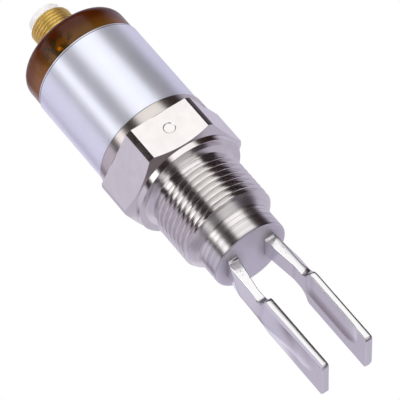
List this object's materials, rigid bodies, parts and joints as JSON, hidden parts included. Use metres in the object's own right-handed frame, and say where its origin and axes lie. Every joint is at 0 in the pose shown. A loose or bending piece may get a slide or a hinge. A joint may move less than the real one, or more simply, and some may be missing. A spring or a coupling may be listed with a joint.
{
  "type": "vibrating fork level switch",
  "caption": "Compact vibrating-fork level switch: steel tuning fork under a process thread and hexagon, round steel housing, amber lamp cap and threaded plug for a cable.",
  "frame": {"origin": "centre of the sealing face above the process thread", "axes": "+Z along the axis towards the plug, -Y out of the marked hexagon flat, the tines stand apart along X"},
  "size_m": [0.036, 0.0322, 0.1324],
  "materials": {
    "fork_steel": "fine bead-blasted to satin",
    "turned_steel": "bright turned",
    "tube_steel": "satin",
    "amber_plastic": "glossy, translucent",
    "seal_rubber": "matte",
    "plug_brass": "bright",
    "white_plastic": "matte",
    "pin_gold": "bright plated",
    "lead_wire": "matte insulation",
    "plain_steel": "machined",
    "sleeve_plastic": "matte",
    "insulator_white": "fired ceramic, matte",
    "piezo_grey": "fired ceramic, silvered faces",
    "electrode_brass": "thin foil",
    "holder_plastic": "matte",
    "board_green": "glossy lacquer",
    "chip_black": "matte moulding",
    "capacitor_can": "drawn can",
    "lamp_lens": "clear resin"
  },
  "bodies": {
    "root": {"fork": "fork_steel", "process_fitting": "turned_steel", "housing_tube": "tube_steel", "lamp_cap": "amber_plastic", "cap_seal": "seal_rubber", "connector_shell": "plug_brass", "connector_seal": "seal_rubber", "contact_carrier": "white_plastic", "contact_pins": "pin_gold", "connector_leads": "lead_wire", "tension_bolt": "plain_steel", "pressure_bush": "plain_steel", "insulating_sleeve": "sleeve_plastic", "lower_insulator": "insulator_white", "piezo_rings": "piezo_grey", "electrode_rings": "electrode_brass", "upper_insulator": "insulator_white", "thrust_washer": "plain_steel", "tension_nut": "plain_steel", "piezo_leads": "lead_wire", "board_holder": "holder_plastic", "circuit_board": "board_green", "microcontroller": "chip_black", "output_transistors": "chip_black", "capacitor": "capacitor_can", "chip_resistors": "chip_black", "hall_sensor": "chip_black", "indicator_lamps": "lamp_lens"}
  },
  "joints": []
}
